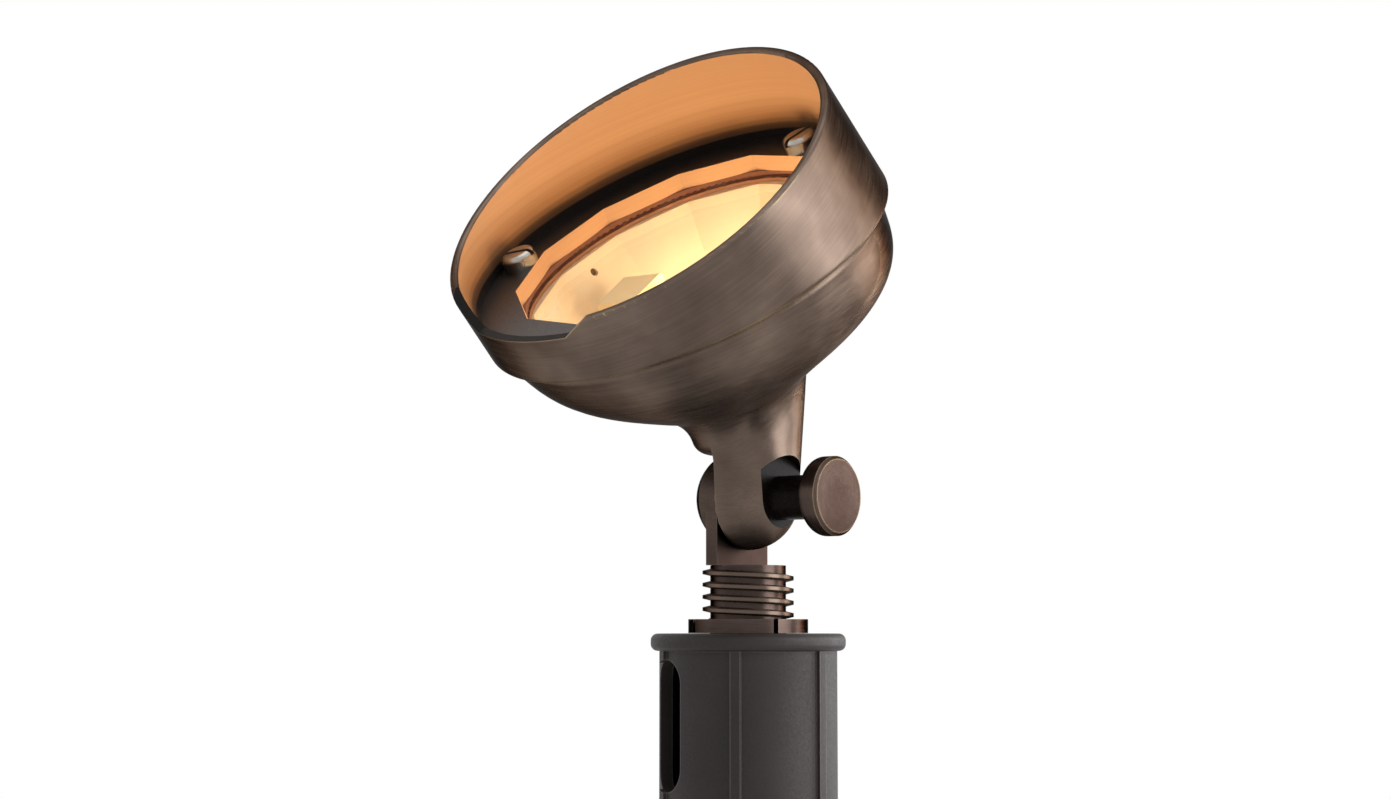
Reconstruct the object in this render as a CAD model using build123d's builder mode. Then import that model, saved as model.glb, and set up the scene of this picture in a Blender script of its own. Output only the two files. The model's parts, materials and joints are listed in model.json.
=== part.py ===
# Landscape flood light: a bronzed brass head with an oblique hood, a toothed knuckle on a
# threaded stem, and a moulded ground stake. Millimetres, +Z up. The origin is on the stem's
# axis at the underside of the stake's flange, which is the ground line. X is the tilt axis,
# with the thumbscrew at +X, and the light aims to -Y and upwards.
from build123d import *
from math import cos, radians, sin, tan
import os

# Places and angles of the head
knuckle_height = 35.1
seam_forward = 21.9
seam_rise = 52.1
lens_elevation = 53.0
hood_slant = 11.3

# Hood
hood_rim_radius = 48.1
hood_draft = 1.7
hood_wall = 2.1
hood_length = 25.6
hood_lip_round = 0.8
hood_foot_round = 1.6
ledge_rise = 9.4
ledge_thickness = 4.0
aperture_lip = 0.8
aperture_sides = 12
notch_sill = 3.2
notch_left = -24.0
notch_right = 6.0
notch_flare = 60

# Bowl, neck and half-ball
# Each bowl section: depth under the seam, radius, and shift towards the back
bowl_sections = [
    (0, 47.6, -0.4),
    (6, 45.6, 1.0),
    (12, 43.9, 2.7),
    (18, 39.9, 4.0),
    (24, 31.6, 3.0),
    (30, 20.6, 0.4),
    (35, 11.0, -1.0),
]
bowl_top_round = 1.4
cavity_step = 1.0
cavity_room = 1.0
cavity_depth = 27.0
neck_top_radius = 15.0
neck_rise = 48.0
neck_blend = 9.0
ball_radius = 11.8
lap_rise = 10.4
shelf_round = 4.0
lead_bore_radius = 3.5
lead_bore_top = 40.0
plug_floor = 2.0
plug_height = 6.0

# Lens, gasket and reflector
lens_radius = 38.8
lens_thickness = 3.4
lens_chamfer = 0.4
gasket_wall = 0.8
gasket_lip = 2.6
reflector_gauge = 0.8
reflector_flange = 2.2
reflector_floor = 27.0
reflector_depth = 18.0
sight_hole_radius = 0.9
sight_hole_angle = 168
sight_hole_depth = 3.4

# Hood screws
screw_count = 3
screw_first_angle = 68
screw_margin = 1.6
screw_radius = 1.6
screw_reach = 6.0
screw_head_radius = 4.2
screw_head_height = 3.6
screw_head_round = 1.4
slot_width = 1.2
slot_depth = 1.5

# Bi-pin lamp, its holder and wiring
holder_length = 11.0
holder_width = 13.0
holder_height = 11.0
holder_inset = 3.6
holder_round = 1.0
holder_lead_depth = 3.0
bracket_gauge = 1.2
bracket_ear = 6.0
bracket_screw_radius = 1.2
bracket_screw_head = 2.2
bracket_screw_height = 1.4
pin_radius = 0.4
pin_spacing = 4.0
pin_length = 9.0
pin_bury = 5.0
contact_wall = 0.5
lamp_length = 34.0
lamp_root_radius = 5.5
lamp_tip_radius = 4.4
lamp_tip_round = 1.5
board_gauge = 1.0
board_width = 7.4
board_margin = 1.5
emitter_length = 15.0
emitter_width = 6.0
emitter_gauge = 0.7
chip_gauge = 0.8
chip_size = 2.4
chip_pitch = 3.6
lead_radius = 1.0
lead_spacing = 3.2
lead_bend = 3.0
lead_drop = 21.6

# Knuckle and stem
lobe_radius = 12.0
lobe_rim = 10.0
lap_face = -1.0
tooth_count = 24
tooth_inner = 5.0
tooth_outer = 9.8
tooth_reach = 11.4
tooth_height = 0.45
tooth_width = 1.3
tooth_gap = 0.3
tongue_gauge = 3.3
tongue_half_width = 9.5
tongue_drop = 15.4
nipple_radius = 8.8
nipple_length = 33.6
wire_bore_radius = 4.5
wire_bore_depth = 27.0
bushing_height = 8.0
cord_hole_radius = 1.9

# Thumbscrew
thumb_shank_radius = 2.95
thumb_shank_end = -8.0
spot_face = 9.6
spot_radius = 9.8
thumb_collar_radius = 5.1
thumb_collar_end = 20.4
knob_radius = 9.1
knob_end = 26.2
knob_back_round = 2.4
knob_edge = 0.7

# Locknut
nut_radius = 13.9
nut_height = 3.2
nut_slots = 4
nut_slot_width = 1.2
nut_slot_depth = 2.4
nut_slot_first = 65

# Ground stake
flange_radius = 22.6
flange_height = 4.0
flange_round = 1.6
hub_radius = 21.5
hub_wall = 3.0
hub_depth = 39.0
hub_floor = 3.0
panel_recess = 0.9
rib_count = 6
rib_width = 2.4
panel_margin = 2.0
socket_wall = 3.2
socket_depth = 20.0
cord_slot_angle = -116
cord_slot_width = 11.0
cord_slot_length = 30.0
fin_gauge = 4.0
fin_half_width = 18.0
fin_length = 137.0
fin_tip = 1.6
core_radius = 5.0

# Clearances
running_fit = 0.05
free_fit = 0.1
seat_gap = 0.1


def tilted_plane(place, elevation):
    """Plane whose normal points to -Y at this elevation, with +X as its x direction."""
    angle = radians(elevation)
    return Plane(origin=place, x_dir=(1, 0, 0), z_dir=(0, -cos(angle), sin(angle)))


def profile_plane(face):
    """Plane through the axis of a given plane, with radius along x and height along y."""
    return Plane(origin=face.origin, x_dir=face.x_dir, z_dir=-face.y_dir)


def axis_of(face):
    """The line through a plane's origin along its normal."""
    return Axis(face.origin, face.z_dir)


def cross_plane(face, along, height):
    """Plane that faces +X of a given plane, at a distance along it and a height over it."""
    place = face.origin + face.x_dir * along + face.z_dir * height
    return Plane(origin=place, x_dir=face.y_dir, z_dir=face.x_dir)


# Planes that several pieces share
knuckle = Vector(0, 0, knuckle_height)
neck_plane = Plane(origin=knuckle)
lap_plane = Plane(origin=knuckle, x_dir=(0, 1, 0), z_dir=(1, 0, 0))
seam = tilted_plane((0, -seam_forward, knuckle_height + seam_rise), lens_elevation)
hood_rim = tilted_plane(seam.origin, lens_elevation - hood_slant).offset(hood_length)

# The lens and all behind it are centred in the hood's bore at the height of the ledge
window_shift = ledge_rise * tan(radians(hood_slant))
lens_seat = tilted_plane(seam.origin - seam.y_dir * window_shift, lens_elevation)

# Sizes that follow from those above
spread = 2 * hood_length
hood_bore = hood_rim_radius - hood_wall
ledge_foot = ledge_rise - ledge_thickness
gasket_radius = lens_radius + gasket_wall
lens_foot = (ledge_foot - lens_thickness) / 2
aperture_radius = lens_radius - aperture_lip
cavity_radius = gasket_radius - cavity_step
cavity_floor = reflector_floor + cavity_room
cavity_bend = reflector_depth + cavity_room
reflector_mouth = gasket_radius - reflector_flange
screw_circle = gasket_radius + screw_margin
notch_foot = ledge_rise + notch_sill
notch_rise = hood_length
notch_spread = notch_rise * tan(radians(notch_flare))
floor_top = reflector_gauge - reflector_depth
bracket_top = floor_top + bracket_gauge
lamp_height = bracket_top + holder_height / 2
holder_back = holder_inset - reflector_floor
holder_front = holder_back + holder_length
holder_middle = (holder_back + holder_front) / 2
lamp_root = holder_front + pin_length - pin_bury
board_root = lamp_root + board_margin
emitter_root = lamp_root + lamp_length - board_margin - emitter_length
head_root = lap_face + tooth_gap / 2 + tooth_height
stem_root = lap_face - tooth_gap / 2 - tooth_height
tooth_turn = 180 / tooth_count
plug_foot = lap_rise + plug_floor
nipple_top = knuckle_height - tongue_drop
nipple_foot = nipple_top - nipple_length
socket_radius = nipple_radius + running_fit
hub_room = hub_radius - panel_recess - hub_wall

os.makedirs("parts", exist_ok=True)

# Hood: a slanted tube cut by the seam plane, with an inner ledge that holds the lens down and a
# flared notch in the low side of its wall, down to a sill over the ledge, where rain runs out
with BuildPart() as hood_space:
    with BuildSketch(profile_plane(hood_rim)):
        with Locations((0, -spread)):
            Rectangle(hood_bore, 2 * spread, align=(Align.MIN, Align.MIN))
    revolve(axis=axis_of(hood_rim))
    split(bisect_by=seam.offset(ledge_rise), keep=Keep.TOP)

with BuildPart() as hood:
    with BuildSketch(profile_plane(hood_rim)):
        with BuildLine():
            base_radius = hood_rim_radius + spread * tan(radians(hood_draft))
            Polyline((0, 0), (hood_rim_radius, 0), (base_radius, -spread), (0, -spread), close=True)
        make_face()
    revolve(axis=axis_of(hood_rim))
    split(bisect_by=seam, keep=Keep.TOP)
    fillet(faces().filter_by(seam).edges(), hood_foot_round)
    add(hood_space.part, mode=Mode.SUBTRACT)
    fillet(faces().filter_by(hood_rim).edges(), hood_lip_round)
    with BuildSketch(lens_seat):
        Circle(gasket_radius + free_fit)
    extrude(amount=ledge_foot, mode=Mode.SUBTRACT)
    with BuildSketch(lens_seat.offset(ledge_foot)):
        RegularPolygon(aperture_radius, aperture_sides)
    extrude(amount=ledge_thickness + free_fit, mode=Mode.SUBTRACT)
    with BuildSketch(lens_seat):
        with PolarLocations(screw_circle, screw_count, start_angle=screw_first_angle):
            Circle(screw_radius + free_fit)
    extrude(amount=ledge_rise + free_fit, mode=Mode.SUBTRACT)
    with BuildSketch(profile_plane(lens_seat).offset(aperture_radius / 2)):
        with BuildLine():
            Polyline(
                (notch_left, notch_foot),
                (notch_right, notch_foot),
                (notch_right + notch_spread, notch_foot + notch_rise),
                (notch_left - notch_spread, notch_foot + notch_rise),
                close=True,
            )
        make_face()
    extrude(amount=spread, mode=Mode.SUBTRACT)
hood.part.label = "hood"
export_step(hood.part, "parts/hood.step")

# Housing: a bowl lofted below the seam, a round neck and half of the knuckle's ball
with BuildPart() as housing:
    for depth, radius, shift in bowl_sections:
        with BuildSketch(seam.offset(-depth)):
            with Locations((0, shift)):
                Circle(radius)
    loft()
    fillet(faces().filter_by(seam).sort_by(SortBy.AREA)[-1].edges(), bowl_top_round)
    with BuildSketch(profile_plane(neck_plane)):
        with BuildLine():
            Polyline((ball_radius, 0), (neck_top_radius, neck_rise), (0, neck_rise), (0, -ball_radius))
            CenterArc((0, 0), ball_radius, 270, 90)
        make_face()
    revolve(axis=axis_of(neck_plane))
    fillet(edges(Select.NEW), neck_blend)
    with BuildSketch(lap_plane.offset(head_root)):
        with Locations((0, -spread)):
            Rectangle(2 * spread, spread + lap_rise, align=(Align.CENTER, Align.MIN))
    extrude(amount=-spread, mode=Mode.SUBTRACT)
    fillet(edges(Select.NEW).filter_by(GeomType.CIRCLE).filter_by(lambda e: e.center().X < head_root), shelf_round)
    with BuildSketch(lap_plane.offset(head_root)):
        with PolarLocations((tooth_inner + tooth_reach) / 2, tooth_count):
            Rectangle(tooth_reach - tooth_inner, tooth_width)
    extrude(amount=-tooth_height)
    with BuildSketch(lap_plane.offset(spot_face)):
        Circle(spot_radius)
    extrude(amount=spread, mode=Mode.SUBTRACT)
    with BuildSketch(lap_plane.offset(head_root)):
        Circle(thumb_shank_radius + free_fit)
    extrude(amount=spread, mode=Mode.SUBTRACT)
    with BuildSketch(profile_plane(lens_seat)):
        with BuildLine():
            Polyline(
                (0, 0),
                (cavity_radius, 0),
                (cavity_floor, -cavity_bend),
                (cavity_floor / 2, -cavity_depth),
                (0, -cavity_depth),
                close=True,
            )
        make_face()
    revolve(axis=axis_of(lens_seat), mode=Mode.SUBTRACT)
    with BuildSketch(lens_seat):
        Circle(gasket_radius + free_fit)
    extrude(amount=-reflector_gauge, mode=Mode.SUBTRACT)
    with BuildSketch(lens_seat):
        with PolarLocations(screw_circle, screw_count, start_angle=screw_first_angle):
            Circle(screw_radius + running_fit)
    extrude(amount=-screw_reach - free_fit, mode=Mode.SUBTRACT)
    with BuildSketch(neck_plane.offset(plug_foot)):
        Circle(lead_bore_radius)
    extrude(amount=lead_bore_top - plug_foot, mode=Mode.SUBTRACT)
housing.part.label = "housing"
export_step(housing.part, "parts/housing.step")

# Lens: a flat disc of tempered glass with a rounded edge
with BuildPart() as lens:
    with BuildSketch(lens_seat.offset(lens_foot)):
        Circle(lens_radius)
    extrude(amount=lens_thickness)
    chamfer(edges(), lens_chamfer)
lens.part.label = "lens"
export_step(lens.part, "parts/lens.step")

# Lens gasket: a silicone ring of U section round the edge of the glass
with BuildPart() as lens_gasket:
    with BuildSketch(profile_plane(lens_seat)):
        with BuildLine():
            inner = gasket_radius - gasket_lip
            Polyline(
                (inner, 0),
                (gasket_radius, 0),
                (gasket_radius, ledge_foot),
                (inner, ledge_foot),
                (inner, lens_foot + lens_thickness),
                (lens_radius, lens_foot + lens_thickness),
                (lens_radius, lens_foot),
                (inner, lens_foot),
                close=True,
            )
        make_face()
    revolve(axis=axis_of(lens_seat))
lens_gasket.part.label = "lens_gasket"
export_step(lens_gasket.part, "parts/lens_gasket.step")

# Reflector: a steep twelve-sided pan of bright sheet, hung by its rim under the gasket
with BuildPart() as reflector:
    for height, radius in ((0, reflector_mouth), (-reflector_depth, reflector_floor)):
        with BuildSketch(lens_seat.offset(height)):
            RegularPolygon(radius, aperture_sides)
    loft(ruled=True)
    with BuildSketch(lens_seat.offset(-reflector_gauge)):
        Circle(gasket_radius)
    extrude(amount=reflector_gauge)
    for height, radius in ((0, reflector_mouth), (floor_top, reflector_floor)):
        with BuildSketch(lens_seat.offset(height)):
            RegularPolygon(radius - reflector_gauge, aperture_sides)
    loft(ruled=True, mode=Mode.SUBTRACT)
    turn = radians(sight_hole_angle)
    outward = lens_seat.x_dir * cos(turn) + lens_seat.y_dir * sin(turn)
    with BuildSketch(Plane(lens_seat.offset(-sight_hole_depth).origin, z_dir=outward)):
        Circle(sight_hole_radius)
    extrude(amount=reflector_mouth, mode=Mode.SUBTRACT)
    with BuildSketch(lens_seat.offset(floor_top)):
        with Locations((holder_middle, 0)):
            SlotCenterToCenter(lead_spacing, 2 * lead_radius + 4 * free_fit, rotation=90)
            with GridLocations(0, holder_width + bracket_ear, 1, 2):
                Circle(bracket_screw_radius + running_fit)
    extrude(amount=-reflector_gauge, mode=Mode.SUBTRACT)
reflector.part.label = "reflector"
export_step(reflector.part, "parts/reflector.step")

# Holder bracket: a plate on the reflector's floor with an ear for a screw at each side
with BuildPart() as holder_bracket:
    with BuildSketch(lens_seat.offset(floor_top)):
        with Locations((holder_middle, 0)):
            Rectangle(holder_length, holder_width)
            RectangleRounded(bracket_ear, holder_width + 2 * bracket_ear, bracket_ear / 3)
            SlotCenterToCenter(
                lead_spacing, 2 * lead_radius + 4 * free_fit, rotation=90, mode=Mode.SUBTRACT
            )
            with GridLocations(0, holder_width + bracket_ear, 1, 2):
                Circle(bracket_screw_radius + running_fit, mode=Mode.SUBTRACT)
    extrude(amount=bracket_gauge)
holder_bracket.part.label = "holder_bracket"
export_step(holder_bracket.part, "parts/holder_bracket.step")

# Bracket screws: low round heads on the bracket's ears, their shanks through the reflector's floor
with BuildPart() as bracket_screws:
    with BuildSketch(lens_seat.offset(bracket_top)):
        with Locations((holder_middle, 0)):
            with GridLocations(0, holder_width + bracket_ear, 1, 2):
                Circle(bracket_screw_head)
    extrude(amount=bracket_screw_height)
    chamfer(edges().group_by(axis_of(lens_seat))[-1], bracket_screw_height / 3)
    with BuildSketch(lens_seat.offset(bracket_top)):
        with Locations((holder_middle, 0)):
            with GridLocations(0, holder_width + bracket_ear, 1, 2):
                Circle(bracket_screw_radius)
    extrude(amount=-bracket_gauge - 2 * reflector_gauge)
bracket_screws.part.label = "bracket_screws"
export_step(bracket_screws.part, "parts/bracket_screws.step")

# Lamp holder: a ceramic block with two bores for the lamp's pins
with BuildPart() as lamp_holder:
    with BuildSketch(cross_plane(lens_seat, holder_back, lamp_height)):
        RectangleRounded(holder_width, holder_height, holder_round)
    extrude(amount=holder_length)
    with BuildSketch(cross_plane(lens_seat, holder_front, lamp_height)):
        with GridLocations(pin_spacing, 0, 2, 1):
            Circle(pin_radius + running_fit + contact_wall)
    extrude(amount=-pin_bury, mode=Mode.SUBTRACT)
    with BuildSketch(lens_seat.offset(bracket_top)):
        with Locations((holder_middle, 0)):
            with GridLocations(0, lead_spacing, 1, 2):
                Circle(lead_radius + free_fit)
    extrude(amount=holder_lead_depth, mode=Mode.SUBTRACT)
lamp_holder.part.label = "lamp_holder"
export_step(lamp_holder.part, "parts/lamp_holder.step")

# Socket contacts: two sprung sleeves in the holder's bores
with BuildPart() as socket_contacts:
    with BuildSketch(cross_plane(lens_seat, holder_front, lamp_height)):
        with GridLocations(pin_spacing, 0, 2, 1):
            Circle(pin_radius + running_fit + contact_wall)
            Circle(pin_radius + running_fit, mode=Mode.SUBTRACT)
    extrude(amount=-pin_bury)
socket_contacts.part.label = "socket_contacts"
export_step(socket_contacts.part, "parts/socket_contacts.step")

# Lamp pins: two wires from the lamp into the contacts
with BuildPart() as lamp_pins:
    with BuildSketch(cross_plane(lens_seat, lamp_root, lamp_height)):
        with GridLocations(pin_spacing, 0, 2, 1):
            Circle(pin_radius)
    extrude(amount=-pin_length)
lamp_pins.part.label = "lamp_pins"
export_step(lamp_pins.part, "parts/lamp_pins.step")

# Lamp board: the strip that carries the emitters and chips
board_plane = lens_seat.offset(lamp_height)
with BuildPart() as lamp_board:
    with BuildSketch(board_plane.offset(-board_gauge / 2)):
        with Locations((board_root, 0)):
            board_length = lamp_length - 2 * board_margin
            Rectangle(board_length, board_width, align=(Align.MIN, Align.CENTER))
    extrude(amount=board_gauge)
lamp_board.part.label = "lamp_board"
export_step(lamp_board.part, "parts/lamp_board.step")

# Lamp emitters: a phosphor strip on each face of the board, at the tip's end
with BuildPart() as lamp_emitters:
    for side in (1, -1):
        with BuildSketch(board_plane.offset(side * board_gauge / 2)):
            with Locations((emitter_root, 0)):
                Rectangle(emitter_length, emitter_width, align=(Align.MIN, Align.CENTER))
        extrude(amount=side * emitter_gauge)
lamp_emitters.part.label = "lamp_emitters"
export_step(lamp_emitters.part, "parts/lamp_emitters.step")

# Lamp chips: the driver parts on both faces of the board, at the pins' end
with BuildPart() as lamp_chips:
    chip_middle = (board_root + emitter_root) / 2
    for side in (1, -1):
        with BuildSketch(board_plane.offset(side * board_gauge / 2)):
            with Locations((chip_middle, 0)):
                with GridLocations(chip_pitch, chip_pitch, 2, 2):
                    Rectangle(chip_size, chip_size)
        extrude(amount=side * chip_gauge)
lamp_chips.part.label = "lamp_chips"
export_step(lamp_chips.part, "parts/lamp_chips.step")

# Lamp body: clear silicone cast round the board, tapering to the tip
with BuildPart() as lamp_body:
    with BuildSketch(cross_plane(lens_seat, lamp_root, lamp_height)):
        Circle(lamp_root_radius)
    with BuildSketch(cross_plane(lens_seat, lamp_root + lamp_length, lamp_height)):
        Circle(lamp_tip_radius)
    loft()
    fillet(edges().group_by(Axis.X)[-1], lamp_tip_round)
    add(lamp_board.part, mode=Mode.SUBTRACT)
    add(lamp_emitters.part, mode=Mode.SUBTRACT)
    add(lamp_chips.part, mode=Mode.SUBTRACT)
lamp_body.part.label = "lamp_body"
export_step(lamp_body.part, "parts/lamp_body.step")

# Lead wires: two insulated leads from the holder, under the reflector and down the neck
with BuildPart() as lead_wires:
    for side in (-lead_spacing / 2, lead_spacing / 2):
        start = lens_seat.from_local_coords((holder_middle, side, bracket_top + holder_lead_depth))
        turn_down = lens_seat.from_local_coords((holder_middle, side, -lead_drop))
        with BuildLine() as route:
            FilletPolyline(
                start,
                turn_down,
                knuckle + Vector(0, side, lead_bore_top - lead_bend),
                knuckle + Vector(0, side, plug_foot),
                radius=lead_bend,
            )
        with BuildSketch(Plane(start, z_dir=-lens_seat.z_dir)):
            Circle(lead_radius)
        sweep(path=route.line)
lead_wires.part.label = "lead_wires"
export_step(lead_wires.part, "parts/lead_wires.step")

# Lead plug: a rubber stopper in the neck that the leads pass through
with BuildPart() as lead_plug:
    with BuildSketch(neck_plane.offset(plug_foot)):
        Circle(lead_bore_radius)
        with GridLocations(0, lead_spacing, 1, 2):
            Circle(lead_radius, mode=Mode.SUBTRACT)
    extrude(amount=plug_height)
lead_plug.part.label = "lead_plug"
export_step(lead_plug.part, "parts/lead_plug.step")

# Hood screws: slotted pan heads on the ledge, threaded into the rim of the bowl
with BuildPart() as hood_screws:
    with BuildSketch(lens_seat.offset(ledge_rise)):
        with PolarLocations(screw_circle, screw_count, start_angle=screw_first_angle):
            Circle(screw_head_radius)
    extrude(amount=screw_head_height)
    fillet(edges().group_by(axis_of(lens_seat))[-1], screw_head_round)
    with BuildSketch(lens_seat.offset(ledge_rise + screw_head_height)):
        with PolarLocations(screw_circle, screw_count, start_angle=screw_first_angle):
            Rectangle(2 * screw_head_radius, slot_width)
    extrude(amount=-slot_depth, mode=Mode.SUBTRACT)
    with BuildSketch(lens_seat.offset(ledge_rise)):
        with PolarLocations(screw_circle, screw_count, start_angle=screw_first_angle):
            Circle(screw_radius)
    extrude(amount=-ledge_rise - screw_reach)
hood_screws.part.label = "hood_screws"
export_step(hood_screws.part, "parts/hood_screws.step")

# Stem: the other half of the knuckle with its teeth, a flat tongue and the hollow nipple
with BuildPart() as stem:
    with BuildSketch(lap_plane.offset(stem_root)):
        Circle(lobe_rim)
    extrude(amount=-lobe_radius)
    with Locations(knuckle):
        Sphere(lobe_radius, mode=Mode.INTERSECT)
    with BuildSketch(lap_plane.offset(stem_root)):
        with Locations((0, -tongue_drop)):
            Rectangle(2 * tongue_half_width, tongue_drop, align=(Align.CENTER, Align.MIN))
    extrude(amount=-tongue_gauge)
    with BuildSketch(Plane.XY.offset(nipple_top)):
        Circle(nipple_radius)
    extrude(amount=-nipple_length)
    with BuildSketch(lap_plane.offset(stem_root)):
        with PolarLocations((tooth_inner + tooth_outer) / 2, tooth_count, start_angle=tooth_turn):
            Rectangle(tooth_outer - tooth_inner, tooth_width)
    extrude(amount=tooth_height)
    with BuildSketch(lap_plane.offset(stem_root)):
        Circle(thumb_shank_radius + running_fit)
    extrude(amount=thumb_shank_end - stem_root - free_fit, mode=Mode.SUBTRACT)
    with BuildSketch(Plane.XY.offset(nipple_foot)):
        Circle(wire_bore_radius)
    extrude(amount=wire_bore_depth, mode=Mode.SUBTRACT)
stem.part.label = "stem"
export_step(stem.part, "parts/stem.step")

# Cord bushing: a rubber sleeve in the nipple's foot, where the supply lead comes in
with BuildPart() as cord_bushing:
    with BuildSketch(Plane.XY.offset(nipple_foot)):
        Circle(wire_bore_radius)
        Circle(cord_hole_radius, mode=Mode.SUBTRACT)
    extrude(amount=bushing_height)
cord_bushing.part.label = "cord_bushing"
export_step(cord_bushing.part, "parts/cord_bushing.step")

# Thumbscrew: a shank, a long collar and a round knob with a flat face
with BuildPart() as thumbscrew:
    with BuildSketch(lap_plane.offset(thumb_shank_end)):
        Circle(thumb_shank_radius)
    extrude(amount=spot_face - thumb_shank_end + seat_gap)
    with BuildSketch(lap_plane.offset(spot_face + seat_gap)):
        Circle(thumb_collar_radius)
    extrude(amount=thumb_collar_end - spot_face - seat_gap)
    with BuildSketch(lap_plane.offset(thumb_collar_end)):
        Circle(knob_radius)
    extrude(amount=knob_end - thumb_collar_end)
    knob_rings = edges().filter_by(GeomType.CIRCLE).filter_by(lambda e: e.radius > thumb_collar_radius)
    fillet(knob_rings.sort_by(Axis.X)[0], knob_back_round)
    chamfer(edges().sort_by(Axis.X)[-1], knob_edge)
thumbscrew.part.label = "thumbscrew"
export_step(thumbscrew.part, "parts/thumbscrew.step")

# Locknut: a thin ring with spanner slots, on the nipple over the stake
with BuildPart() as locknut:
    with BuildSketch(Plane.XY.offset(flange_height + seat_gap)):
        Circle(nut_radius)
        Circle(nipple_radius + running_fit, mode=Mode.SUBTRACT)
        with PolarLocations(nut_radius, nut_slots, start_angle=nut_slot_first):
            Rectangle(2 * nut_slot_depth, nut_slot_width, mode=Mode.SUBTRACT)
    extrude(amount=nut_height)
locknut.part.label = "locknut"
export_step(locknut.part, "parts/locknut.step")

# Stake: a round flange over a ribbed hub, with a socket for the nipple and four tapering fins
with BuildPart() as stake:
    with BuildSketch(Plane.XY):
        Circle(flange_radius)
    extrude(amount=flange_height)
    fillet(edges().filter_by(GeomType.CIRCLE), flange_round)
    with BuildSketch(Plane.XY):
        Circle(hub_radius)
    extrude(amount=-hub_depth)
    with BuildSketch(Plane.XY):
        Circle(hub_radius + panel_recess)
        Circle(hub_radius - panel_recess, mode=Mode.SUBTRACT)
        with PolarLocations(hub_radius, rib_count):
            Rectangle(4 * panel_recess, rib_width, mode=Mode.SUBTRACT)
    extrude(amount=panel_margin - hub_depth, mode=Mode.SUBTRACT)
    with BuildSketch(Plane.XY.offset(hub_floor - hub_depth)):
        Circle(hub_room)
        Circle(socket_radius + socket_wall, mode=Mode.SUBTRACT)
    extrude(amount=hub_depth - hub_floor, mode=Mode.SUBTRACT)
    with BuildSketch(Plane.XY.offset(hub_floor - hub_depth)):
        Circle(socket_radius + socket_wall)
    extrude(amount=hub_depth - hub_floor - socket_depth, mode=Mode.SUBTRACT)
    with BuildSketch(Plane.XY.offset(flange_height)):
        Circle(socket_radius)
    extrude(amount=-flange_height - socket_depth, mode=Mode.SUBTRACT)
    slot_turn = radians(cord_slot_angle)
    slot_plane = Plane((0, 0, -panel_margin), x_dir=(-sin(slot_turn), cos(slot_turn), 0),
                       z_dir=(cos(slot_turn), sin(slot_turn), 0))
    with BuildSketch(slot_plane.offset(socket_radius + socket_wall)):
        slot_middle = -cord_slot_length / 2
        with Locations((0, slot_middle)):
            SlotOverall(cord_slot_length, cord_slot_width, rotation=90)
    extrude(amount=hub_radius, mode=Mode.SUBTRACT)
    with BuildSketch(Plane.XY.offset(-hub_depth)):
        Circle(core_radius)
    with BuildSketch(Plane.XY.offset(-hub_depth - fin_length)):
        Circle(fin_tip)
    loft()
    for blade in (Plane.XZ, Plane.YZ):
        with BuildSketch(blade.offset(-fin_gauge / 2)):
            with BuildLine():
                foot = -hub_depth - fin_length
                Polyline((-fin_half_width, -hub_depth), (fin_half_width, -hub_depth), (fin_tip, foot),
                         (-fin_tip, foot), close=True)
            make_face()
        extrude(amount=fin_gauge)
stake.part.label = "stake"
export_step(stake.part, "parts/stake.step")
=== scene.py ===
import bmesh
import bpy
import json
import math
from mathutils import Matrix, Vector


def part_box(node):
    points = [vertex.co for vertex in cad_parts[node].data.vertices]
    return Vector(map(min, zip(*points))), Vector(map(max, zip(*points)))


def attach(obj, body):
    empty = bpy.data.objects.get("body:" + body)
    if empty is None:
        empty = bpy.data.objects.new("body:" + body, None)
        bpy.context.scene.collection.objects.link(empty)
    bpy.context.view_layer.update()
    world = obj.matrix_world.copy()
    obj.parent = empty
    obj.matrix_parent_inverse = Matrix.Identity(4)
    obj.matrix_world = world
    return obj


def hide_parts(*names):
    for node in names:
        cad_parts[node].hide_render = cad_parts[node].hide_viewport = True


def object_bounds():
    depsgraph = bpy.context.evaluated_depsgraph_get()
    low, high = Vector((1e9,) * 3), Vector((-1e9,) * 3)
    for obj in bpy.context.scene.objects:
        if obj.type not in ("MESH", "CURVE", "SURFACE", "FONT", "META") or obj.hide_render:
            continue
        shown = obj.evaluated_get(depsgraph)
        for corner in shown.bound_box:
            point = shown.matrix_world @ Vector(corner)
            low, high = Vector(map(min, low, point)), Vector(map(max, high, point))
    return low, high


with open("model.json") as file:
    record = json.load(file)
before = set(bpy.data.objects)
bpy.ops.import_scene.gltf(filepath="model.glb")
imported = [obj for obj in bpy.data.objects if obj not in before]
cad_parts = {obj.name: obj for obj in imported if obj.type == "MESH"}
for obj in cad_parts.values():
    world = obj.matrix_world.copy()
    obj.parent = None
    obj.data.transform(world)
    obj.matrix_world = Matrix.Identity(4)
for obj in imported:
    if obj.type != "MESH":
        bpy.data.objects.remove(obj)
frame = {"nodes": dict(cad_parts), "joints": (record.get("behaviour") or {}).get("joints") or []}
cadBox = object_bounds()
nodes = frame["nodes"]
joints = {joint["name"]: joint for joint in frame["joints"]}
mm = 0.001
noiseDetail = 3
noiseSpan = {"From Min": 0.3, "From Max": 0.7}  # the part of 0 to 1 that a noise mostly fills
print("frame loaded:", len(nodes), "nodes")


# one place that turns an sRGB hex value into linear colour
def hexColour(code):
    parts = [int(code[i:i + 2], 16) / 255 for i in (1, 3, 5)]
    return [p / 12.92 if p <= 0.04045 else ((p + 0.055) / 1.055) ** 2.4 for p in parts] + [1]


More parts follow.
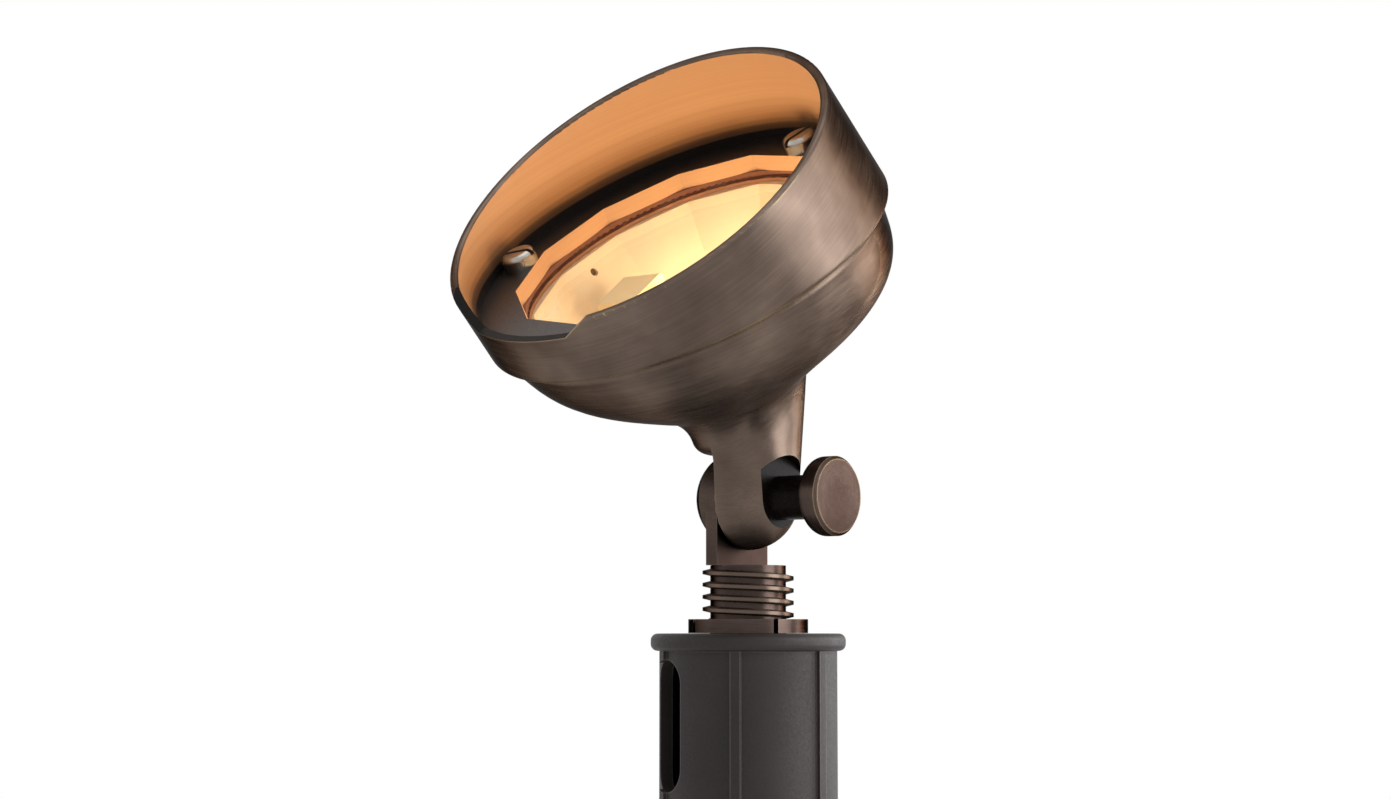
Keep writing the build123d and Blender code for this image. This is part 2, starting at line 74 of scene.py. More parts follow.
# adds a node, sets its properties, fills its inputs from values or sockets, and its ramp from stops
def addNode(tree, kind, inputs=None, stops=(), **settings):
    made = tree.nodes.new(kind)
    for key, value in settings.items():
        setattr(made, key, value)
    for key, value in (inputs or {}).items():
        if isinstance(value, bpy.types.NodeSocket):
            tree.links.new(value, made.inputs[key])
        else:
            made.inputs[key].default_value = value
    for i, (place, code) in enumerate(stops):
        ramp = made.color_ramp.elements
        stop = ramp[i] if i < len(ramp) else ramp.new(place)
        stop.position = place
        stop.color = hexColour(code)
    return made


def newMaterial(name):
    made = bpy.data.materials.new(name)
    made.use_nodes = True
    made.node_tree.nodes.clear()
    return made, made.node_tree


def addObject(name, data):
    made = bpy.data.objects.new(name, data)
    bpy.context.scene.collection.objects.link(made)
    return made


def meshFrom(bm, name):
    mesh = bpy.data.meshes.new(name)
    bm.to_mesh(mesh)
    bm.free()
    return mesh


# puts the camera or a lamp at a place, looking along a direction
def aim(thing, place, direction):
    thing.location = place
    thing.rotation_mode = "QUATERNION"
    thing.rotation_quaternion = direction.to_track_quat("-Z", "Y")


# unit vector that leans from +Z towards -Y, the way the light faces
def leaning(degrees):
    angle = math.radians(degrees)
    return Vector((0, -math.sin(angle), math.cos(angle)))


# the head's lines, in the frame's millimetres and degrees
head = {
    "seam": Vector((0, -21.9, 87.2)),
    "lensLean": 37,
    "hoodLean": 48.3,
    "ledge": 9.4,  # over the seam, along the lens's axis
    "ledgeFoot": 5.4,
}
lensAxis = leaning(head["lensLean"])
hoodAxis = leaning(head["hoodLean"])
lensBack = lensAxis.cross(Vector((1, 0, 0)))
lensLow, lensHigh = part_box("lens")
lensCentre = (lensLow + lensHigh) / 2
seamCentre = head["seam"] * mm
knuckle = Vector(joints["tilt"]["pos_m"])

camera = {
    "away": Vector((0.3687, -0.4725, -0.0294)),  # from the knuckle
    "look": Vector((-0.6287, 0.7727, 0.0877)),
    "lens": 66.62,
    "sensor": 36,
    "nearest": 0.01,
}


def makeCamera(c):
    data = bpy.data.cameras.new("camera")
    data.lens = c["lens"]
    data.sensor_width = c["sensor"]
    data.sensor_fit = "HORIZONTAL"
    data.clip_start = c["nearest"]
    made = addObject("camera", data)
    aim(made, knuckle + c["away"], c["look"])
    bpy.context.scene.camera = made


makeCamera(camera)
bpy.context.scene.view_settings.view_transform = "Standard"
print("camera set")

studio = {
    "floorRadius": 2.5,
    "floorSides": 96,
    "floorColour": "#e8e7e5",
    "white": "#ffffff",
    "ambient": 0.5,
    "floorSeen": 0.55,  # how far the camera sees the floor lifted to white, which keeps the shadow
    "floorMirrored": 0.85,  # the same for the brass that mirrors it
    "fade": (0.35, 1.15),  # metres from the stem, where the floor turns into the white behind it
    # name, azimuth round the knuckle from +X, elevation, distance, width, height, watts
    "lamps": [
        ("keyStrip", 18, 12, 1.2, 0.76, 0.8, 12.0),
        ("sideStrip", 66, 9, 1.2, 0.56, 0.6, 8.0),
        ("fillBox", -150, 20, 1.1, 0.9, 0.9, 1.2),
        ("topBox", -60, 75, 1.0, 0.8, 0.8, 2.4),
    ],
}


def makeFloor(s):
    bm = bmesh.new()
    bmesh.ops.create_circle(bm, cap_ends=True, segments=s["floorSides"], radius=s["floorRadius"])
    bmesh.ops.translate(bm, verts=bm.verts, vec=(0, 0, cadBox[0].z))
    floor = addObject("floor", meshFrom(bm, "floor"))
    material, tree = newMaterial("studioPaper")
    paper = addNode(tree, "ShaderNodeBsdfDiffuse", {"Color": hexColour(s["floorColour"])})
    white = addNode(tree, "ShaderNodeEmission", {"Color": hexColour(s["white"]), "Strength": 1})
    path = addNode(tree, "ShaderNodeLightPath")
    place = addNode(tree, "ShaderNodeTexCoord").outputs["Object"]
    reach = addNode(tree, "ShaderNodeVectorMath", {0: place}, operation="LENGTH")
    near, far = s["fade"]
    lift = addNode(tree, "ShaderNodeMapRange",
                   {"Value": reach.outputs["Value"], "From Min": near, "From Max": far,
                    "To Min": s["floorSeen"], "To Max": 1}, interpolation_type="SMOOTHSTEP")
    seen = addNode(tree, "ShaderNodeMath",
                   {0: path.outputs["Is Camera Ray"], 1: path.outputs["Is Transmission Ray"]},
                   operation="ADD", use_clamp=True)
    lifted = addNode(tree, "ShaderNodeMath",
                     {0: seen.outputs[0], 1: lift.outputs[0]}, operation="MULTIPLY")
    lifted = addNode(tree, "ShaderNodeMath",
                     {0: path.outputs["Is Glossy Ray"], 1: s["floorMirrored"],
                      2: lifted.outputs[0]}, operation="MULTIPLY_ADD", use_clamp=True)
    paper = addNode(tree, "ShaderNodeMixShader",
                    {0: lifted.outputs[0], 1: paper.outputs[0], 2: white.outputs[0]})
    addNode(tree, "ShaderNodeOutputMaterial", {"Surface": paper.outputs[0]})
    floor.data.materials.append(material)


def makeRoom(s):
    world = bpy.data.worlds.new("studioRoom")
    bpy.context.scene.world = world
    world.use_nodes = True
    tree = world.node_tree
    tree.nodes.clear()
    path = addNode(tree, "ShaderNodeLightPath")
    seen = addNode(tree, "ShaderNodeMath",
                   {0: path.outputs["Is Camera Ray"], 1: path.outputs["Is Transmission Ray"]},
                   operation="ADD")
    seen = addNode(tree, "ShaderNodeMath",
                   {0: seen.outputs[0], 1: path.outputs["Is Glossy Ray"]},
                   operation="ADD", use_clamp=True)
    white = hexColour(s["white"])
    room = addNode(tree, "ShaderNodeBackground", {"Color": white, "Strength": s["ambient"]})
    backdrop = addNode(tree, "ShaderNodeBackground", {"Color": white, "Strength": 1})
    mix = addNode(tree, "ShaderNodeMixShader",
                  {0: seen.outputs[0], 1: room.outputs[0], 2: backdrop.outputs[0]})
    addNode(tree, "ShaderNodeOutputWorld", {"Surface": mix.outputs[0]})


def hangLamps(s):
    for name, azimuth, elevation, distance, width, height, watts in s["lamps"]:
        light = bpy.data.lights.new(name, "AREA")
        light.shape = "RECTANGLE"
        light.size, light.size_y = width, height
        light.energy = watts
        a, e = math.radians(azimuth), math.radians(elevation)
        out = Vector((math.cos(a) * math.cos(e), math.sin(a) * math.cos(e), math.sin(e)))
        aim(addObject(name, light), knuckle + out * distance, -out)


makeFloor(studio)
makeRoom(studio)
hangLamps(studio)
print("studio lit")

# an edge is where a rounded normal leaves the true one; starts and full are cosines of that angle
edgeBend = {"starts": 0.985, "full": 0.85, "samples": 6}


# white along the edges, with their width in mm
def edgeMask(tree, width, e=edgeBend):
    rounded = addNode(tree, "ShaderNodeBevel", {"Radius": width * mm}, samples=e["samples"])
    true = addNode(tree, "ShaderNodeNewGeometry")
    bend = addNode(tree, "ShaderNodeVectorMath",
                   {0: rounded.outputs[0], 1: true.outputs["Normal"]}, operation="DOT_PRODUCT")
    return addNode(tree, "ShaderNodeMapRange",
                   {"Value": bend.outputs["Value"], "From Min": e["starts"],
                    "From Max": e["full"]}).outputs[0]


# antique bronze film on cast brass, brushed in rings after the turning: dark brown with a satin
# band of light across the rings, and gold along the edges, partly wear and partly a painted
# highlight
brass = {
    "dark": "#4a3e37",
    "middle": "#65574e",
    "light": "#7a6a5f",
    "stops": (0.3, 0.72, 1.0),  # where the film is dark, middle and light
    "gold": "#c4ab82",
    "edgeTint": "#566066",  # darkens what is seen flat, and a little cool against a copper cast
    "patch": 16,  # mm, size of the cloudy patches in the film
    "line": 0.4,  # mm, brush lines, drawn coarser than the real ones so that they show
    "breaks": 3,  # a line breaks about six times this often on its way round
    "brushShare": 0.45,  # what the lines add to the patches
    "rough": (0.34, 0.44),
    "bump": 0.08,
    "depth": 0.05,  # mm, of the brush lines
    "drawn": 0.8,  # how far the lines draw the highlight out across them
    "edgeWearAndGlint": 0.7,  # mm, width of the edges painted gold or light: partly wear, partly a painted highlight
    "seamRubAndGlint": 0.9,  # mm each side of the seam, gold partly rubbed where the hood is taken off and put back, partly a painted highlight
}
# the small turned pieces took a darker film
turnedBrass = {**brass, "dark": "#352b29", "middle": "#4a3e39", "light": "#5f514b"}


# axis and centre are those of the brushing; edges names the colour along the edges, partly wear
# and partly a painted highlight where it is gold or light, and painted shade where it is dark
def bronzedBrass(name, axis, centre, edges, b=brass):
    made, tree = newMaterial(name)
    place = addNode(tree, "ShaderNodeTexCoord").outputs["Object"]
    turn = axis.to_track_quat("Z", "Y").to_euler()
    ringed = addNode(tree, "ShaderNodeMapping",
                     {"Vector": place, "Location": centre, "Rotation": turn}, vector_type="TEXTURE")
    axes = addNode(tree, "ShaderNodeSeparateXYZ", {"Vector": ringed.outputs[0]})
    flat = addNode(tree, "ShaderNodeCombineXYZ", {"X": axes.outputs["X"], "Y": axes.outputs["Y"]})
    radius = addNode(tree, "ShaderNodeVectorMath", {0: flat.outputs[0]}, operation="LENGTH")
    around = addNode(tree, "ShaderNodeVectorMath", {0: flat.outputs[0]}, operation="NORMALIZE")
    lines = 1 / (b["line"] * mm)
    height = addNode(tree, "ShaderNodeMath",
                     {0: axes.outputs["Z"], 1: lines}, operation="MULTIPLY")
    width = addNode(tree, "ShaderNodeMath",
                    {0: radius.outputs["Value"], 1: lines}, operation="MULTIPLY")
    lift = addNode(tree, "ShaderNodeCombineXYZ", {"Z": height.outputs[0]})
    along = addNode(tree, "ShaderNodeVectorMath",
                    {0: around.outputs[0], 1: [b["breaks"]] * 3, 2: lift.outputs[0]},
                    operation="MULTIPLY_ADD")
    brush = addNode(tree, "ShaderNodeTexNoise",
                    {"Vector": along.outputs[0], "W": width.outputs[0], "Scale": 1,
                     "Detail": noiseDetail}, noise_dimensions="4D").outputs["Fac"]
    cloud = addNode(tree, "ShaderNodeTexNoise",
                    {"Vector": place, "Scale": 1 / (b["patch"] * mm),
                     "Detail": noiseDetail}).outputs["Fac"]
    film = addNode(tree, "ShaderNodeMath",
                   {0: brush, 1: b["brushShare"], 2: cloud}, operation="MULTIPLY_ADD")
    film = addNode(tree, "ShaderNodeValToRGB", {"Fac": film.outputs[0]},
                   zip(b["stops"], (b["dark"], b["middle"], b["light"])))
    # edges painted gold, light or dark: partly wear, partly a painted highlight or painted shade
    wornAndGlint = addNode(tree, "ShaderNodeMath",
                   {0: edgeMask(tree, b["edgeWearAndGlint"]), 1: cloud}, operation="MULTIPLY")
    rise = addNode(tree, "ShaderNodeVectorMath", {0: place, 1: seamCentre}, operation="SUBTRACT")
    rise = addNode(tree, "ShaderNodeVectorMath",
                   {0: rise.outputs[0], 1: lensAxis}, operation="DOT_PRODUCT")
    rise = addNode(tree, "ShaderNodeMath", {0: rise.outputs["Value"]}, operation="ABSOLUTE")
    # a gold band along the seam: partly rubbed, partly a painted highlight
    seam = addNode(tree, "ShaderNodeMapRange",
                   {"Value": rise.outputs[0], "From Min": b["seamRubAndGlint"] * mm, "From Max": 0})
    rubbed = addNode(tree, "ShaderNodeMath", {0: seam.outputs[0], 1: cloud}, operation="MULTIPLY")
    colour = addNode(tree, "ShaderNodeMix",
                     {"Factor": wornAndGlint.outputs[0], "A": film.outputs["Color"],
                      "B": hexColour(b[edges])}, data_type="RGBA")
    colour = addNode(tree, "ShaderNodeMix",
                     {"Factor": rubbed.outputs[0], "A": colour.outputs["Result"],
                      "B": hexColour(b["gold"])}, data_type="RGBA")
    smooth, coarse = b["rough"]
    rough = addNode(tree, "ShaderNodeMapRange",
                    {"Value": brush, **noiseSpan, "To Min": smooth, "To Max": coarse})
    bump = addNode(tree, "ShaderNodeBump",
                   {"Height": brush, "Strength": b["bump"], "Distance": b["depth"] * mm})
    grain = addNode(tree, "ShaderNodeCombineXYZ", {"X": axis.x, "Y": axis.y, "Z": axis.z})
    grain = addNode(tree, "ShaderNodeVectorTransform", {"Vector": grain.outputs[0]},
                    vector_type="VECTOR", convert_from="OBJECT", convert_to="WORLD")
    shader = addNode(tree, "ShaderNodeBsdfPrincipled",
                     {"Base Color": colour.outputs["Result"], "Metallic": 1,
                      "Roughness": rough.outputs[0], "Specular Tint": hexColour(b["edgeTint"]),
                      "Anisotropic": b["drawn"], "Tangent": grain.outputs[0],
                      "Normal": bump.outputs[0]})
    addNode(tree, "ShaderNodeOutputMaterial", {"Surface": shader.outputs[0]})
    return made


# bare brass lining, polished by the turning: peach, partly the lamp's warm light painted in, dull,
# and a painted shadow that darkens it to black at the ledge
lining = {
    "ledgeShadow": "#120c09",
    "warm": "#b07c50",
    "bright": "#dcaa7c",
    "stops": (0.32, 0.52, 0.95),  # where the tone is the painted shadow, warm and bright
    "clear": 12,  # mm over the ledge where the painted shadow ends
    "climb": 0.75,  # how far the height over the ledge shifts the tone
    "mark": 1.4,  # mm, turning marks, drawn coarser than the real ones so that they show
    "streak": 0.35,  # how far the marks shift the tone
    "metallic": 0.3,  # low, because the dull skin on it scatters the lamp's light
    "rough": (0.45, 0.55),
}


def polishedLining(s):
    made, tree = newMaterial("polishedLining")
    place = addNode(tree, "ShaderNodeTexCoord").outputs["Object"]
    turn = lensAxis.to_track_quat("Z", "Y").to_euler()
    local = addNode(tree, "ShaderNodeMapping",
                    {"Vector": place, "Location": seamCentre, "Rotation": turn},
                    vector_type="TEXTURE")
    axes = addNode(tree, "ShaderNodeSeparateXYZ", {"Vector": local.outputs[0]})
    foot = head["ledge"] * mm
    rise = addNode(tree, "ShaderNodeMapRange",
                   {"Value": axes.outputs["Z"], "From Min": foot,
                    "From Max": foot + s["clear"] * mm})
    # the window's sides, under the ledge, take none of the painted shadow
    below = addNode(tree, "ShaderNodeMath", {0: axes.outputs["Z"], 1: foot}, operation="LESS_THAN")
    rise = addNode(tree, "ShaderNodeMath",
                   {0: rise.outputs[0], 1: below.outputs[0]}, operation="MAXIMUM")
    lifted = addNode(tree, "ShaderNodeCombineXYZ", {"Z": axes.outputs["Z"]})
    marks = addNode(tree, "ShaderNodeTexNoise",
                    {"Vector": lifted.outputs[0], "Scale": 1 / (s["mark"] * mm),
                     "Detail": noiseDetail}).outputs["Fac"]
    # the tone: a painted shadow at the ledge that lightens with height, and the turning marks
    tone = addNode(tree, "ShaderNodeMath",
                   {0: rise.outputs[0], 1: s["climb"]}, operation="MULTIPLY")
    tone = addNode(tree, "ShaderNodeMath",
                   {0: marks, 1: s["streak"], 2: tone.outputs[0]}, operation="MULTIPLY_ADD")
    colour = addNode(tree, "ShaderNodeValToRGB", {"Fac": tone.outputs[0]},
                     zip(s["stops"], (s["ledgeShadow"], s["warm"], s["bright"])))
    smooth, coarse = s["rough"]
    rough = addNode(tree, "ShaderNodeMapRange",
                    {"Value": marks, **noiseSpan, "To Min": smooth, "To Max": coarse})
    shader = addNode(tree, "ShaderNodeBsdfPrincipled",
                     {"Base Color": colour.outputs["Color"], "Metallic": s["metallic"],
                      "Roughness": rough.outputs[0]})
    addNode(tree, "ShaderNodeOutputMaterial", {"Surface": shader.outputs[0]})
    return made


# black lacquer as painted shade: black seen square on, grey where seen flat, duller where dust lies
shadeBlack = {
    "body": "#0d0a09",
    "pale": "#1a1513",
    "stops": (0.35, 0.7),  # where the dust is thin and thick
    "speck": 0.8,  # mm, size of the specks of dust
    "rough": (0.32, 0.42),
    "ior": 1.5,
    "ledgeGloss": 0.5,
    "recessGloss": 0.04,  # dull, so that the recess stays black as painted shade
}


def paintedShadeLacquer(name, gloss, s=shadeBlack):
    made, tree = newMaterial(name)
    place = addNode(tree, "ShaderNodeTexCoord").outputs["Object"]
    specks = addNode(tree, "ShaderNodeTexNoise",
                     {"Vector": place, "Scale": 1 / (s["speck"] * mm),
                      "Detail": noiseDetail}).outputs["Fac"]
    colour = addNode(tree, "ShaderNodeValToRGB", {"Fac": specks},
                     zip(s["stops"], (s["body"], s["pale"])))
    smooth, coarse = s["rough"]
    rough = addNode(tree, "ShaderNodeMapRange",
                    {"Value": specks, **noiseSpan, "To Min": smooth, "To Max": coarse})
    shader = addNode(tree, "ShaderNodeBsdfPrincipled",
                     {"Base Color": colour.outputs["Color"], "Roughness": rough.outputs[0],
                      "IOR": s["ior"], "Specular IOR Level": gloss})
    addNode(tree, "ShaderNodeOutputMaterial", {"Surface": shader.outputs[0]})
    return made


# joining of a CAD node's loose triangles: mm between points that are one, degrees of a sharp edge
joining = {"weld": 0.002, "sharp": 25}


# a copy of a CAD node with its loose triangles joined, so that its curves shade as one surface
def castSkin(node, body, materials, j=joining):
    bm = bmesh.new()
    bm.from_mesh(nodes[node].data)
    bmesh.ops.remove_doubles(bm, verts=bm.verts, dist=j["weld"] * mm)
    for face in bm.faces:
        face.smooth = True
        face.material_index = 0
    mesh = meshFrom(bm, node + "_skin")
    # the loose triangles' own normals don't fit the joined surface
    mesh.attributes.remove(mesh.attributes["custom_normal"])
    mesh.set_sharp_from_angle(angle=math.radians(j["sharp"]))
    for material in materials:
        mesh.materials.append(material)
    made = addObject(node + "_skin", mesh)
    even = made.modifiers.new("evenShading", "WEIGHTED_NORMAL")
    even.keep_sharp = True
    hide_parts(node)
    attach(made, body)
    return made


# the hood's bore and window take the lining, and the ledge and notch edges are painted shade in
# lacquer
hoodFinish = {"lining": 1, "ledge": 2, "notch": 3}  # places in the hood's list of materials
# how those faces are told apart: cosines of the angle between a face and a direction, or mm
hoodFaces = {
    "ledgeSlack": 0.05,  # mm from the ledge's height
    "ledgeLevel": 0.95,  # to the lens's axis
    "boreOut": -0.98,  # to the way out from the hood's axis
    "windowOut": -0.6,
    "notchFront": -20,  # mm from the hood's axis, the low side where the notch is
    "notchAcross": 0.02,  # to the way back over the lens
    "notchUp": 0.3,  # to the lens's axis
}


def lineHood(skin, h, f=hoodFaces):
    for face in skin.data.polygons:
        rise = (face.center - seamCentre).dot(lensAxis) / mm
        out = face.center - seamCentre
        out -= hoodAxis * out.dot(hoodAxis)
        outward = face.normal.dot(out.normalized())
        level = face.normal.dot(lensAxis)
        across = abs(face.normal.dot(lensBack))
        atFront = out.dot(lensBack) < f["notchFront"] * mm
        if abs(rise - h["ledge"]) < f["ledgeSlack"] and level > f["ledgeLevel"]:
            face.material_index = hoodFinish["ledge"]
        elif rise > h["ledge"] and outward < f["boreOut"]:
            face.material_index = hoodFinish["lining"]
        elif h["ledgeFoot"] < rise < h["ledge"] and outward < f["windowOut"]:
            face.material_index = hoodFinish["lining"]
        elif rise > h["ledge"] and atFront and across < f["notchAcross"] and level > f["notchUp"]:
            face.material_index = hoodFinish["notch"]


# the recess beside the knuckle and the screw's collar in it, painted black as shade; in mm from
# the knuckle's middle, and finish is the place in the piece's list of materials
recess = {"floor": 9.6, "end": 20.3, "radius": 9.8, "slack": 0.05, "finish": 1}


def blackenRecess(skin, r):
    for face in skin.data.polygons:
        off = (face.center - knuckle) / mm
        inside = off.yz.length < r["radius"] + r["slack"]
        if r["floor"] - r["slack"] < off.x < r["end"] and inside:
            face.material_index = r["finish"]


stemAxis, screwAxis = Vector((0, 0, 1)), Vector((1, 0, 0))
stemCentre = Vector()
# the ledge, the notch's edges, the recess and the screw's collar are painted black as shade
ledgeShadeLacquer = paintedShadeLacquer("paintedShadeLacquer", shadeBlack["ledgeGloss"])
dullShadeLacquer = paintedShadeLacquer("paintedShadeLacquerDull", shadeBlack["recessGloss"])
headBrass = bronzedBrass("bronzedBrassBowl", lensAxis, lensCentre, "light")
hoodBrass = bronzedBrass("bronzedBrassHood", hoodAxis, seamCentre, "gold")
stemBrass = bronzedBrass("bronzedBrassStem", stemAxis, stemCentre, "light", turnedBrass)
# the thread's edges take the dark film: painted shade under the crests
threadBrass = bronzedBrass("bronzedBrassThread", stemAxis, stemCentre, "dark")
screwBrass = bronzedBrass("bronzedBrassScrew", screwAxis, knuckle, "gold", turnedBrass)
hoodMaterials = [hoodBrass, polishedLining(lining), ledgeShadeLacquer, dullShadeLacquer]
lineHood(castSkin("hood", "head", hoodMaterials), head)
blackenRecess(castSkin("housing", "head", [headBrass, dullShadeLacquer]), recess)
castSkin("stem", "stem", [stemBrass])
castSkin("locknut", "locknut", [stemBrass])
screwMaterials = [screwBrass, dullShadeLacquer]
blackenRecess(castSkin("thumbscrew", "thumbscrew", screwMaterials), recess)
print("brass done")

# ABS moulded in a spark-eroded tool: near black, with a fine even grain and a soft sheen, and
# greyer where soil and hands rub its edges
stakeAbs = {
    "body": "#201b19",
    "pale": "#2b2523",
    "stops": (0.35, 0.7),  # where the clouds are thin and thick
    "rubbed": "#5b5351",
    "edge": 0.6,  # mm, width of the rubbed edges
    "grain": 0.6,  # mm, drawn coarser than the real one so that it shows
    "patch": 25,  # mm, size of the faint clouds
    "bump": 0.2,
    "depth": 0.1,  # mm, of the grain
    "rough": (0.5, 0.65),
    "ior": 1.53,
    "gloss": 0.3,
}


def mouldedAbs(a):
    made, tree = newMaterial("mouldedAbs")
    place = addNode(tree, "ShaderNodeTexCoord").outputs["Object"]
    grain = addNode(tree, "ShaderNodeTexNoise",
                    {"Vector": place, "Scale": 1 / (a["grain"] * mm),
                     "Detail": noiseDetail}).outputs["Fac"]
    cloud = addNode(tree, "ShaderNodeTexNoise",
                    {"Vector": place, "Scale": 1 / (a["patch"] * mm),
                     "Detail": noiseDetail}).outputs["Fac"]
    colour = addNode(tree, "ShaderNodeValToRGB", {"Fac": cloud},
                     zip(a["stops"], (a["body"], a["pale"])))
    colour = addNode(tree, "ShaderNodeMix",
                     {"Factor": edgeMask(tree, a["edge"]), "A": colour.outputs["Color"],
                      "B": hexColour(a["rubbed"])}, data_type="RGBA")
    bump = addNode(tree, "ShaderNodeBump",
                   {"Height": grain, "Strength": a["bump"], "Distance": a["depth"] * mm})
    smooth, coarse = a["rough"]
    rough = addNode(tree, "ShaderNodeMapRange",
                    {"Value": grain, **noiseSpan, "To Min": smooth, "To Max": coarse})
    shader = addNode(tree, "ShaderNodeBsdfPrincipled",
                     {"Base Color": colour.outputs["Result"], "Roughness": rough.outputs[0],
                      "IOR": a["ior"], "Specular IOR Level": a["gloss"],
                      "Normal": bump.outputs[0]})
    addNode(tree, "ShaderNodeOutputMaterial", {"Surface": shader.outputs[0]})
    return made


castSkin("stake", "stake", [mouldedAbs(stakeAbs)])
print("stake done")


# gives CAD nodes that stay a material
def dress(names, material):
    for name in names:
        nodes[name].data.materials.clear()
        nodes[name].data.materials.append(material)


clearPieces = {
    # float glass, tempered: flat and clear, with a trace of green
    "temperedGlass": {"pieces": ["lens"], "colour": "#f6f8f4", "rough": 0, "ior": 1.5},
    # cast clear silicone: soft gloss, a little milky
    "clearSilicone": {"pieces": ["lamp_body"], "colour": "#f4f2ea", "rough": 0.08, "ior": 1.41},
}


# lamp light goes straight through, so that no caustics are needed
def clearMaterial(name, c):
    made, tree = newMaterial(name)
    path = addNode(tree, "ShaderNodeLightPath")
    glass = addNode(tree, "ShaderNodeBsdfPrincipled",
                    {"Base Color": hexColour(c["colour"]), "Roughness": c["rough"], "IOR": c["ior"],
                     "Transmission Weight": 1})
    clear = addNode(tree, "ShaderNodeBsdfTransparent", {"Color": hexColour(c["colour"])})
    mix = addNode(tree, "ShaderNodeMixShader",
                  {0: path.outputs["Is Shadow Ray"], 1: glass.outputs[0], 2: clear.outputs[0]})
    addNode(tree, "ShaderNodeOutputMaterial", {"Surface": mix.outputs[0]})
    return made


for name, c in clearPieces.items():
    dress(c["pieces"], clearMaterial(name, c))
print("clear pieces done")

# patch is the size in mm of the clouds in the finish, and shade how much darker they get
innerPieces = {
    # aluminium sheet, anodised pale gold: satin, nearly even
    "anodisedAluminium": {"pieces": ["reflector"], "colour": "#f2e0c0", "rough": 0.45,
                          "metallic": 0.35, "patch": 3, "shade": 0.05},
    # silicone rubber, moulded: brown, dull
    "siliconeRubber": {"pieces": ["lens_gasket"], "colour": "#7a4b35", "rough": 0.55,
                       "metallic": 0, "patch": 1.5, "shade": 0.15},
    # zinc plate on steel: bright grey, slightly clouded
    "zincPlate": {"pieces": ["hood_screws", "bracket_screws", "holder_bracket", "socket_contacts",
                             "lamp_pins"],
                  "colour": "#a9a49c", "rough": 0.3, "metallic": 1, "patch": 4, "shade": 0.15},
    # steatite, fired and unglazed: cream, with a chalky surface
    "steatite": {"pieces": ["lamp_holder"], "colour": "#ecd9ae", "rough": 0.6, "metallic": 0,
                 "patch": 0.8, "shade": 0.08},
    # white solder mask, printed: even and slightly glossy
    "solderMask": {"pieces": ["lamp_board"], "colour": "#dfe1e0", "rough": 0.4, "metallic": 0,
                   "patch": 1, "shade": 0.06},
    # moulded epoxy: black, fine matt grain
    "mouldedEpoxy": {"pieces": ["lamp_chips"], "colour": "#141414", "rough": 0.5, "metallic": 0,
                     "patch": 0.5, "shade": 0.2},
    # phosphor in cast gel: strong yellow, and glowing while the lamp is lit
    "phosphorGel": {"pieces": ["lamp_emitters"], "colour": "#f7a80c", "rough": 0.5, "metallic": 0,
                    "patch": 0.6, "shade": 0.1, "glow": 0.9},
    # silicone lead insulation, extruded: off-white
    "leadInsulation": {"pieces": ["lead_wires"], "colour": "#d9d4c6", "rough": 0.5, "metallic": 0,
                       "patch": 1, "shade": 0.12},
    # black rubber, moulded: dull
    "blackRubber": {"pieces": ["lead_plug", "cord_bushing"], "colour": "#151414", "rough": 0.7,
                    "metallic": 0, "patch": 1, "shade": 0.15},
}
roughSpread = (0.85, 1.15)  # share of a finish's roughness where its clouds are thin and thick


def cloudedMaterial(name, c):
    made, tree = newMaterial(name)
    place = addNode(tree, "ShaderNodeTexCoord").outputs["Object"]
    cloud = addNode(tree, "ShaderNodeTexNoise",
                    {"Vector": place, "Scale": 1 / (c["patch"] * mm),
                     "Detail": noiseDetail}).outputs["Fac"]
    value = addNode(tree, "ShaderNodeMapRange",
                    {"Value": cloud, **noiseSpan, "To Min": 1 - c["shade"], "To Max": 1})
    tone = addNode(tree, "ShaderNodeHueSaturation",
                   {"Color": hexColour(c["colour"]), "Value": value.outputs[0]})
    smooth, coarse = [c["rough"] * share for share in roughSpread]
    rough = addNode(tree, "ShaderNodeMapRange",
                    {"Value": cloud, **noiseSpan, "To Min": smooth, "To Max": coarse})
    shader = addNode(tree, "ShaderNodeBsdfPrincipled",
                     {"Base Color": tone.outputs[0], "Metallic": c["metallic"],
                      "Roughness": rough.outputs[0], "Emission Color": hexColour(c["colour"]),
                      "Emission Strength": c.get("glow", 0)})
    addNode(tree, "ShaderNodeOutputMaterial", {"Surface": shader.outputs[0]})
    return made


for name, c in innerPieces.items():
    dress(c["pieces"], cloudedMaterial(name, c))
print("inner pieces done")

# the lit lamp's light, which fills the reflector and the hood; distances in mm from the lens
glow = {"colour": "#ffdcb4", "watts": 0.195, "radius": 14, "along": 4, "back": 2, "under": 14}


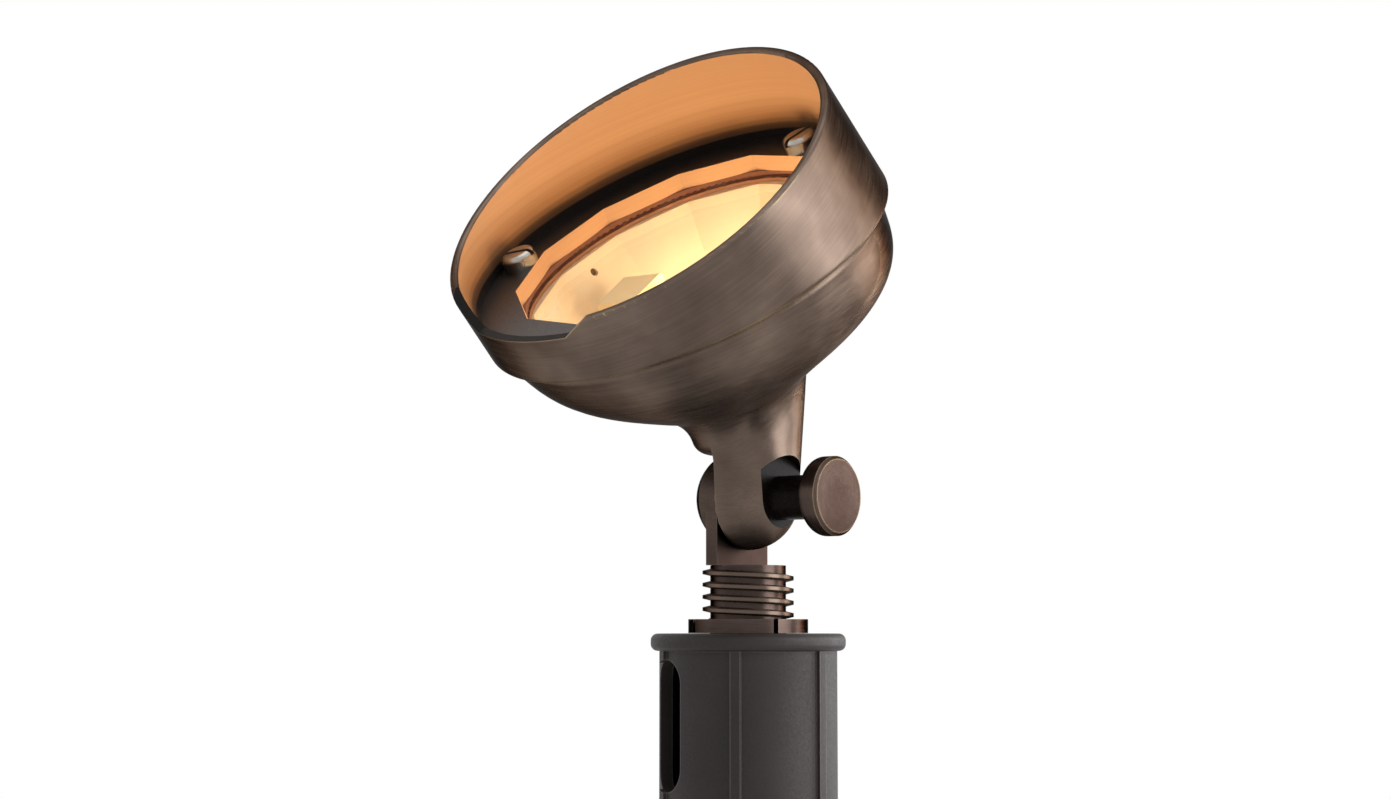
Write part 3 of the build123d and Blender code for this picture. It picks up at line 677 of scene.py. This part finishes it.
def lightLamp(g):
    light = bpy.data.lights.new("lampGlow", "POINT")
    light.color = hexColour(g["colour"])[:3]
    light.energy = g["watts"]
    light.shadow_soft_size = g["radius"] * mm
    lamp = addObject("lampGlow", light)
    place = Vector((g["along"], 0, 0)) + lensBack * g["back"] - lensAxis * g["under"]
    lamp.location = lensCentre + place * mm
    lamp.visible_camera = False
    lamp.visible_glossy = False
    lamp.visible_transmission = False
    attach(lamp, "head")


lightLamp(glow)
print("lamp lit")

# pipe thread on the nipple: flat-topped ridges, in mm
thread = {
    "crest": 10.6,
    "root": 8.7,
    "pitch": 2.83,
    "land": 0.8,  # width of a ridge at its crest
    "foot": 1.7,  # and at its root
    "top": 19.7,
    "end": 6.2,
    "start": 128,  # degrees round from +X, at the back
    "steps": 60,  # in a turn
    "sharp": 30,  # degrees of a sharp edge
}


def cutThread(t):
    bm = bmesh.new()
    turns = (t["top"] - t["end"] - t["foot"]) / t["pitch"]
    profile = [(t["root"], -t["foot"] / 2), (t["crest"], -t["land"] / 2),
               (t["crest"], t["land"] / 2), (t["root"], t["foot"] / 2)]
    start = t["top"] - t["foot"] / 2
    ring = [bm.verts.new(Vector((r, 0, start + z)) * mm) for r, z in profile]
    face = bm.faces.new(ring)
    turn = Matrix.Rotation(math.radians(t["start"]), 3, "Z")
    bmesh.ops.rotate(bm, verts=ring, cent=(0, 0, 0), matrix=turn)
    steps = int(turns * t["steps"])
    drop = -t["pitch"] * turns / steps * mm
    bmesh.ops.spin(bm, geom=[face, *ring, *face.edges], cent=(0, 0, 0), axis=(0, 0, 1),
                   dvec=(0, 0, drop), angle=2 * math.pi * turns, steps=steps, use_merge=False,
                   use_duplicate=False)
    bmesh.ops.recalc_face_normals(bm, faces=bm.faces)
    for face in bm.faces:
        face.smooth = True
    mesh = meshFrom(bm, "stem_thread")
    mesh.set_sharp_from_angle(angle=math.radians(t["sharp"]))
    mesh.materials.append(threadBrass)
    made = addObject("stem_thread", mesh)
    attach(made, "stem")


cutThread(thread)
print("thread cut")
